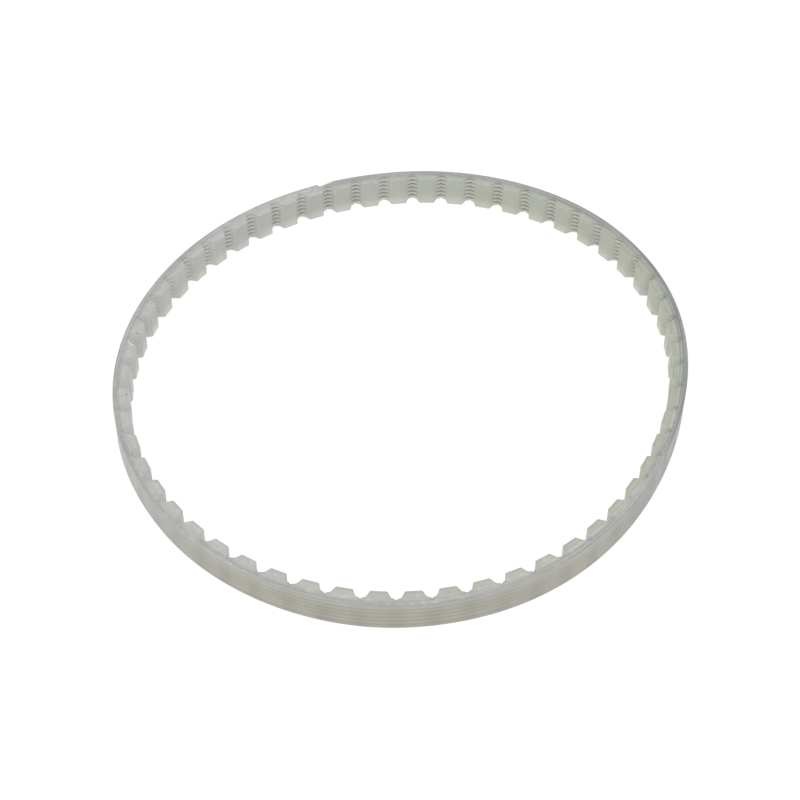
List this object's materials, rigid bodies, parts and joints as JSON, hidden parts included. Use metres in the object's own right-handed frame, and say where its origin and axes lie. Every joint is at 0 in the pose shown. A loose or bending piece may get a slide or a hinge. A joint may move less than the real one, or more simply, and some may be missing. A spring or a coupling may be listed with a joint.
{
  "type": "timing belt",
  "caption": "Endless toothed drive belt standing on its edge, trapezoidal teeth on the inside, steel tension cords in a cast polyurethane body, bending at every tooth gap.",
  "frame": {"origin": "middle of the loop, on the plane of the belt's lower edge", "axes": "+Z along the loop's axis, across the belt's width; the belt's travel runs anticlockwise round +Z"},
  "size_m": [0.1758, 0.187, 0.01],
  "materials": {
    "polyurethane": "cast polyurethane, milky translucent grey, satin",
    "steel_cord": "stranded steel wire"
  },
  "bodies": {
    "tooth_segment_01": {"tooth_segment_01": "polyurethane"},
    "tooth_segment_02": {"tooth_segment_02": "polyurethane"},
    "tooth_segment_03": {"tooth_segment_03": "polyurethane"},
    "tooth_segment_04": {"tooth_segment_04": "polyurethane"},
    "tooth_segment_05": {"tooth_segment_05": "polyurethane"},
    "tooth_segment_06": {"tooth_segment_06": "polyurethane"},
    "tooth_segment_07": {"tooth_segment_07": "polyurethane", "s_lay_cord": "steel_cord", "z_lay_cord": "steel_cord"},
    "tooth_segment_08": {"tooth_segment_08": "polyurethane"},
    "tooth_segment_09": {"tooth_segment_09": "polyurethane"},
    "tooth_segment_10": {"tooth_segment_10": "polyurethane"},
    "tooth_segment_11": {"tooth_segment_11": "polyurethane"},
    "tooth_segment_12": {"tooth_segment_12": "polyurethane"},
    "tooth_segment_13": {"tooth_segment_13": "polyurethane"},
    "tooth_segment_14": {"tooth_segment_14": "polyurethane"},
    "tooth_segment_15": {"tooth_segment_15": "polyurethane"},
    "tooth_segment_16": {"tooth_segment_16": "polyurethane"},
    "tooth_segment_17": {"tooth_segment_17": "polyurethane"},
    "tooth_segment_18": {"tooth_segment_18": "polyurethane"},
    "tooth_segment_19": {"tooth_segment_19": "polyurethane"},
    "tooth_segment_20": {"tooth_segment_20": "polyurethane"},
    "tooth_segment_21": {"tooth_segment_21": "polyurethane"},
    "tooth_segment_22": {"tooth_segment_22": "polyurethane"},
    "tooth_segment_23": {"tooth_segment_23": "polyurethane"},
    "tooth_segment_24": {"tooth_segment_24": "polyurethane"},
    "tooth_segment_25": {"tooth_segment_25": "polyurethane"},
    "tooth_segment_26": {"tooth_segment_26": "polyurethane"},
    "tooth_segment_27": {"tooth_segment_27": "polyurethane"},
    "tooth_segment_28": {"tooth_segment_28": "polyurethane"},
    "tooth_segment_29": {"tooth_segment_29": "polyurethane"},
    "tooth_segment_30": {"tooth_segment_30": "polyurethane"},
    "tooth_segment_31": {"tooth_segment_31": "polyurethane"},
    "tooth_segment_32": {"tooth_segment_32": "polyurethane"},
    "tooth_segment_33": {"tooth_segment_33": "polyurethane"},
    "tooth_segment_34": {"tooth_segment_34": "polyurethane"},
    "tooth_segment_35": {"tooth_segment_35": "polyurethane"},
    "tooth_segment_36": {"tooth_segment_36": "polyurethane"},
    "tooth_segment_37": {"tooth_segment_37": "polyurethane"},
    "tooth_segment_38": {"tooth_segment_38": "polyurethane"},
    "tooth_segment_39": {"tooth_segment_39": "polyurethane"},
    "tooth_segment_40": {"tooth_segment_40": "polyurethane"},
    "tooth_segment_41": {"tooth_segment_41": "polyurethane"},
    "tooth_segment_42": {"tooth_segment_42": "polyurethane"},
    "tooth_segment_43": {"tooth_segment_43": "polyurethane"},
    "tooth_segment_44": {"tooth_segment_44": "polyurethane"},
    "tooth_segment_45": {"tooth_segment_45": "polyurethane"},
    "tooth_segment_46": {"tooth_segment_46": "polyurethane"},
    "tooth_segment_47": {"tooth_segment_47": "polyurethane"},
    "tooth_segment_48": {"tooth_segment_48": "polyurethane"},
    "tooth_segment_49": {"tooth_segment_49": "polyurethane"},
    "tooth_segment_50": {"tooth_segment_50": "polyurethane"},
    "tooth_segment_51": {"tooth_segment_51": "polyurethane"},
    "tooth_segment_52": {"tooth_segment_52": "polyurethane"},
    "tooth_segment_53": {"tooth_segment_53": "polyurethane"},
    "tooth_segment_54": {"tooth_segment_54": "polyurethane"},
    "tooth_segment_55": {"tooth_segment_55": "polyurethane"},
    "tooth_segment_56": {"tooth_segment_56": "polyurethane"}
  },
  "joints": [
    {"name": "bend_08", "type": "hinge", "parent": "tooth_segment_07", "child": "tooth_segment_08", "pos_m": [0.0644, 0.06556, 0.005], "axis": [0, 0, 1], "range_deg": [-7, 14.86], "stiffness_Nm_per_rad": 0.2, "deforming": ["s_lay_cord", "z_lay_cord"]},
    {"name": "bend_09", "type": "hinge", "parent": "tooth_segment_08", "child": "tooth_segment_09", "pos_m": [0.05743, 0.07273, 0.005], "axis": [0, 0, 1], "range_deg": [-7.5, 15.36]},
    {"name": "bend_10", "type": "hinge", "parent": "tooth_segment_09", "child": "tooth_segment_10", "pos_m": [0.04958, 0.07892, 0.005], "axis": [0, 0, 1], "range_deg": [-7.5, 15.36]},
    {"name": "bend_11", "type": "hinge", "parent": "tooth_segment_10", "child": "tooth_segment_11", "pos_m": [0.04097, 0.084, 0.005], "axis": [0, 0, 1], "range_deg": [-7.5, 15.36]},
    {"name": "bend_12", "type": "hinge", "parent": "tooth_segment_11", "child": "tooth_segment_12", "pos_m": [0.03176, 0.0879, 0.005], "axis": [0, 0, 1], "range_deg": [-7.5, 15.36]},
    {"name": "bend_13", "type": "hinge", "parent": "tooth_segment_12", "child": "tooth_segment_13", "pos_m": [0.02211, 0.09054, 0.005], "axis": [0, 0, 1], "range_deg": [-7.5, 15.36]},
    {"name": "bend_14", "type": "hinge", "parent": "tooth_segment_13", "child": "tooth_segment_14", "pos_m": [0.0122, 0.09187, 0.005], "axis": [0, 0, 1], "range_deg": [-7.5, 15.36]},
    {"name": "bend_15", "type": "hinge", "parent": "tooth_segment_14", "child": "tooth_segment_15", "pos_m": [0.0022, 0.09187, 0.005], "axis": [0, 0, 1], "range_deg": [-7.5, 15.36]},
    {"name": "bend_16", "type": "hinge", "parent": "tooth_segment_15", "child": "tooth_segment_16", "pos_m": [-0.00771, 0.09054, 0.005], "axis": [0, 0, 1], "range_deg": [-6.44, 3.3]},
    {"name": "bend_17", "type": "hinge", "parent": "tooth_segment_16", "child": "tooth_segment_17", "pos_m": [-0.01743, 0.0882, 0.005], "axis": [0, 0, 1], "range_deg": [-6.44, 3.3]},
    {"name": "bend_18", "type": "hinge", "parent": "tooth_segment_17", "child": "tooth_segment_18", "pos_m": [-0.02686, 0.08486, 0.005], "axis": [0, 0, 1], "range_deg": [-6.44, 3.3]},
    {"name": "bend_19", "type": "hinge", "parent": "tooth_segment_18", "child": "tooth_segment_19", "pos_m": [-0.03589, 0.08056, 0.005], "axis": [0, 0, 1], "range_deg": [-6.44, 3.3]},
    {"name": "bend_20", "type": "hinge", "parent": "tooth_segment_19", "child": "tooth_segment_20", "pos_m": [-0.04442, 0.07535, 0.005], "axis": [0, 0, 1], "range_deg": [-6.44, 3.3]},
    {"name": "bend_21", "type": "hinge", "parent": "tooth_segment_20", "child": "tooth_segment_21", "pos_m": [-0.05237, 0.06928, 0.005], "axis": [0, 0, 1], "range_deg": [-6.44, 3.3]},
    {"name": "bend_22", "type": "hinge", "parent": "tooth_segment_21", "child": "tooth_segment_22", "pos_m": [-0.05965, 0.06242, 0.005], "axis": [0, 0, 1], "range_deg": [-6.44, 3.3]},
    {"name": "bend_23", "type": "hinge", "parent": "tooth_segment_22", "child": "tooth_segment_23", "pos_m": [-0.06618, 0.05485, 0.005], "axis": [0, 0, 1], "range_deg": [-6.44, 3.3]},
    {"name": "bend_24", "type": "hinge", "parent": "tooth_segment_23", "child": "tooth_segment_24", "pos_m": [-0.07189, 0.04664, 0.005], "axis": [0, 0, 1], "range_deg": [-6.44, 3.3]},
    {"name": "bend_25", "type": "hinge", "parent": "tooth_segment_24", "child": "tooth_segment_25", "pos_m": [-0.07672, 0.03788, 0.005], "axis": [0, 0, 1], "range_deg": [-6.44, 3.3]},
    {"name": "bend_26", "type": "hinge", "parent": "tooth_segment_25", "child": "tooth_segment_26", "pos_m": [-0.08062, 0.02867, 0.005], "axis": [0, 0, 1], "range_deg": [-6.44, 3.3]},
    {"name": "bend_27", "type": "hinge", "parent": "tooth_segment_26", "child": "tooth_segment_27", "pos_m": [-0.08354, 0.01911, 0.005], "axis": [0, 0, 1], "range_deg": [-6.44, 3.3]},
    {"name": "bend_28", "type": "hinge", "parent": "tooth_segment_27", "child": "tooth_segment_28", "pos_m": [-0.08545, 0.0093, 0.005], "axis": [0, 0, 1], "range_deg": [-6.44, 3.3]},
    {"name": "bend_29", "type": "hinge", "parent": "tooth_segment_28", "child": "tooth_segment_29", "pos_m": [-0.08634, -0.00066, 0.005], "axis": [0, 0, 1], "range_deg": [-6.44, 3.3]},
    {"name": "bend_30", "type": "hinge", "parent": "tooth_segment_29", "child": "tooth_segment_30", "pos_m": [-0.08619, -0.01066, 0.005], "axis": [0, 0, 1], "range_deg": [-6.44, 3.3]},
    {"name": "bend_31", "type": "hinge", "parent": "tooth_segment_30", "child": "tooth_segment_31", "pos_m": [-0.08501, -0.02059, 0.005], "axis": [0, 0, 1], "range_deg": [-6.44, 3.3]},
    {"name": "bend_32", "type": "hinge", "parent": "tooth_segment_31", "child": "tooth_segment_32", "pos_m": [-0.08281, -0.03035, 0.005], "axis": [0, 0, 1], "range_deg": [-6.44, 3.3]},
    {"name": "bend_33", "type": "hinge", "parent": "tooth_segment_32", "child": "tooth_segment_33", "pos_m": [-0.0796, -0.03982, 0.005], "axis": [0, 0, 1], "range_deg": [-6.44, 3.3]},
    {"name": "bend_34", "type": "hinge", "parent": "tooth_segment_33", "child": "tooth_segment_34", "pos_m": [-0.07544, -0.04891, 0.005], "axis": [0, 0, 1], "range_deg": [-6.44, 3.3]},
    {"name": "bend_07", "type": "hinge", "parent": "tooth_segment_07", "child": "tooth_segment_06", "pos_m": [0.07035, 0.05752, 0.005], "axis": [0, 0, -1], "range_deg": [-6.44, 3.3]},
    {"name": "bend_06", "type": "hinge", "parent": "tooth_segment_06", "child": "tooth_segment_05", "pos_m": [0.07544, 0.04891, 0.005], "axis": [0, 0, -1], "range_deg": [-6.44, 3.3]},
    {"name": "bend_05", "type": "hinge", "parent": "tooth_segment_05", "child": "tooth_segment_04", "pos_m": [0.0796, 0.03982, 0.005], "axis": [0, 0, -1], "range_deg": [-6.44, 3.3]},
    {"name": "bend_04", "type": "hinge", "parent": "tooth_segment_04", "child": "tooth_segment_03", "pos_m": [0.08281, 0.03035, 0.005], "axis": [0, 0, -1], "range_deg": [-6.44, 3.3]},
    {"name": "bend_03", "type": "hinge", "parent": "tooth_segment_03", "child": "tooth_segment_02", "pos_m": [0.08501, 0.02059, 0.005], "axis": [0, 0, -1], "range_deg": [-6.44, 3.3]},
    {"name": "bend_02", "type": "hinge", "parent": "tooth_segment_02", "child": "tooth_segment_01", "pos_m": [0.08619, 0.01066, 0.005], "axis": [0, 0, -1], "range_deg": [-6.44, 3.3]},
    {"name": "bend_01", "type": "hinge", "parent": "tooth_segment_01", "child": "tooth_segment_56", "pos_m": [0.08634, 0.00066, 0.005], "axis": [0, 0, -1], "range_deg": [-6.44, 3.3]},
    {"name": "bend_56", "type": "hinge", "parent": "tooth_segment_56", "child": "tooth_segment_55", "pos_m": [0.08545, -0.0093, 0.005], "axis": [0, 0, -1], "range_deg": [-6.44, 3.3]},
    {"name": "bend_55", "type": "hinge", "parent": "tooth_segment_55", "child": "tooth_segment_54", "pos_m": [0.08354, -0.01911, 0.005], "axis": [0, 0, -1], "range_deg": [-6.44, 3.3]},
    {"name": "bend_54", "type": "hinge", "parent": "tooth_segment_54", "child": "tooth_segment_53", "pos_m": [0.08062, -0.02867, 0.005], "axis": [0, 0, -1], "range_deg": [-6.44, 3.3]},
    {"name": "bend_53", "type": "hinge", "parent": "tooth_segment_53", "child": "tooth_segment_52", "pos_m": [0.07672, -0.03788, 0.005], "axis": [0, 0, -1], "range_deg": [-6.44, 3.3]},
    {"name": "bend_52", "type": "hinge", "parent": "tooth_segment_52", "child": "tooth_segment_51", "pos_m": [0.07189, -0.04664, 0.005], "axis": [0, 0, -1], "range_deg": [-6.44, 3.3]},
    {"name": "bend_51", "type": "hinge", "parent": "tooth_segment_51", "child": "tooth_segment_50", "pos_m": [0.06618, -0.05485, 0.005], "axis": [0, 0, -1], "range_deg": [-6.44, 3.3]},
    {"name": "bend_50", "type": "hinge", "parent": "tooth_segment_50", "child": "tooth_segment_49", "pos_m": [0.05965, -0.06242, 0.005], "axis": [0, 0, -1], "range_deg": [-6.44, 3.3]},
    {"name": "bend_49", "type": "hinge", "parent": "tooth_segment_49", "child": "tooth_segment_48", "pos_m": [0.05237, -0.06928, 0.005], "axis": [0, 0, -1], "range_deg": [-6.44, 3.3]},
    {"name": "bend_48", "type": "hinge", "parent": "tooth_segment_48", "child": "tooth_segment_47", "pos_m": [0.04442, -0.07535, 0.005], "axis": [0, 0, -1], "range_deg": [-6.44, 3.3]},
    {"name": "bend_47", "type": "hinge", "parent": "tooth_segment_47", "child": "tooth_segment_46", "pos_m": [0.03589, -0.08056, 0.005], "axis": [0, 0, -1], "range_deg": [-6.44, 3.3]},
    {"name": "bend_46", "type": "hinge", "parent": "tooth_segment_46", "child": "tooth_segment_45", "pos_m": [0.02686, -0.08486, 0.005], "axis": [0, 0, -1], "range_deg": [-6.44, 3.3]},
    {"name": "bend_45", "type": "hinge", "parent": "tooth_segment_45", "child": "tooth_segment_44", "pos_m": [0.01743, -0.0882, 0.005], "axis": [0, 0, -1], "range_deg": [-6.44, 3.3]},
    {"name": "bend_44", "type": "hinge", "parent": "tooth_segment_44", "child": "tooth_segment_43", "pos_m": [0.00771, -0.09054, 0.005], "axis": [0, 0, -1], "range_deg": [-6.44, 3.3]},
    {"name": "bend_43", "type": "hinge", "parent": "tooth_segment_43", "child": "tooth_segment_42", "pos_m": [-0.0022, -0.09187, 0.005], "axis": [0, 0, -1], "range_deg": [-7.5, 15.36]},
    {"name": "bend_42", "type": "hinge", "parent": "tooth_segment_42", "child": "tooth_segment_41", "pos_m": [-0.0122, -0.09187, 0.005], "axis": [0, 0, -1], "range_deg": [-7.5, 15.36]},
    {"name": "bend_41", "type": "hinge", "parent": "tooth_segment_41", "child": "tooth_segment_40", "pos_m": [-0.02211, -0.09054, 0.005], "axis": [0, 0, -1], "range_deg": [-7.5, 15.36]},
    {"name": "bend_40", "type": "hinge", "parent": "tooth_segment_40", "child": "tooth_segment_39", "pos_m": [-0.03176, -0.0879, 0.005], "axis": [0, 0, -1], "range_deg": [-7.5, 15.36]},
    {"name": "bend_39", "type": "hinge", "parent": "tooth_segment_39", "child": "tooth_segment_38", "pos_m": [-0.04097, -0.084, 0.005], "axis": [0, 0, -1], "range_deg": [-7.5, 15.36]},
    {"name": "bend_38", "type": "hinge", "parent": "tooth_segment_38", "child": "tooth_segment_37", "pos_m": [-0.04958, -0.07892, 0.005], "axis": [0, 0, -1], "range_deg": [-7.5, 15.36]},
    {"name": "bend_37", "type": "hinge", "parent": "tooth_segment_37", "child": "tooth_segment_36", "pos_m": [-0.05743, -0.07273, 0.005], "axis": [0, 0, -1], "range_deg": [-7.5, 15.36]},
    {"name": "bend_36", "type": "hinge", "parent": "tooth_segment_36", "child": "tooth_segment_35", "pos_m": [-0.0644, -0.06556, 0.005], "axis": [0, 0, -1], "range_deg": [-7.5, 15.36]}
  ],
  "couplings": [
    {"joint": "bend_09", "follows": "bend_08", "ratio": 1},
    {"joint": "bend_10", "follows": "bend_08", "ratio": 1},
    {"joint": "bend_11", "follows": "bend_08", "ratio": 1},
    {"joint": "bend_12", "follows": "bend_08", "ratio": 1},
    {"joint": "bend_13", "follows": "bend_08", "ratio": 1},
    {"joint": "bend_14", "follows": "bend_08", "ratio": 1},
    {"joint": "bend_15", "follows": "bend_08", "ratio": 1},
    {"joint": "bend_16", "follows": "bend_08", "ratio": -0.4},
    {"joint": "bend_17", "follows": "bend_08", "ratio": -0.4},
    {"joint": "bend_18", "follows": "bend_08", "ratio": -0.4},
    {"joint": "bend_19", "follows": "bend_08", "ratio": -0.4},
    {"joint": "bend_20", "follows": "bend_08", "ratio": -0.4},
    {"joint": "bend_21", "follows": "bend_08", "ratio": -0.4},
    {"joint": "bend_22", "follows": "bend_08", "ratio": -0.4},
    {"joint": "bend_23", "follows": "bend_08", "ratio": -0.4},
    {"joint": "bend_24", "follows": "bend_08", "ratio": -0.4},
    {"joint": "bend_25", "follows": "bend_08", "ratio": -0.4},
    {"joint": "bend_26", "follows": "bend_08", "ratio": -0.4},
    {"joint": "bend_27", "follows": "bend_08", "ratio": -0.4},
    {"joint": "bend_28", "follows": "bend_08", "ratio": -0.4},
    {"joint": "bend_29", "follows": "bend_08", "ratio": -0.4},
    {"joint": "bend_30", "follows": "bend_08", "ratio": -0.4},
    {"joint": "bend_31", "follows": "bend_08", "ratio": -0.4},
    {"joint": "bend_32", "follows": "bend_08", "ratio": -0.4},
    {"joint": "bend_33", "follows": "bend_08", "ratio": -0.4},
    {"joint": "bend_34", "follows": "bend_08", "ratio": -0.4},
    {"joint": "bend_07", "follows": "bend_08", "ratio": -0.4},
    {"joint": "bend_06", "follows": "bend_08", "ratio": -0.4},
    {"joint": "bend_05", "follows": "bend_08", "ratio": -0.4},
    {"joint": "bend_04", "follows": "bend_08", "ratio": -0.4},
    {"joint": "bend_03", "follows": "bend_08", "ratio": -0.4},
    {"joint": "bend_02", "follows": "bend_08", "ratio": -0.4},
    {"joint": "bend_01", "follows": "bend_08", "ratio": -0.4},
    {"joint": "bend_56", "follows": "bend_08", "ratio": -0.4},
    {"joint": "bend_55", "follows": "bend_08", "ratio": -0.4},
    {"joint": "bend_54", "follows": "bend_08", "ratio": -0.4},
    {"joint": "bend_53", "follows": "bend_08", "ratio": -0.4},
    {"joint": "bend_52", "follows": "bend_08", "ratio": -0.4},
    {"joint": "bend_51", "follows": "bend_08", "ratio": -0.4},
    {"joint": "bend_50", "follows": "bend_08", "ratio": -0.4},
    {"joint": "bend_49", "follows": "bend_08", "ratio": -0.4},
    {"joint": "bend_48", "follows": "bend_08", "ratio": -0.4},
    {"joint": "bend_47", "follows": "bend_08", "ratio": -0.4},
    {"joint": "bend_46", "follows": "bend_08", "ratio": -0.4},
    {"joint": "bend_45", "follows": "bend_08", "ratio": -0.4},
    {"joint": "bend_44", "follows": "bend_08", "ratio": -0.4},
    {"joint": "bend_43", "follows": "bend_08", "ratio": 1},
    {"joint": "bend_42", "follows": "bend_08", "ratio": 1},
    {"joint": "bend_41", "follows": "bend_08", "ratio": 1},
    {"joint": "bend_40", "follows": "bend_08", "ratio": 1},
    {"joint": "bend_39", "follows": "bend_08", "ratio": 1},
    {"joint": "bend_38", "follows": "bend_08", "ratio": 1},
    {"joint": "bend_37", "follows": "bend_08", "ratio": 1},
    {"joint": "bend_36", "follows": "bend_08", "ratio": 1}
  ]
}
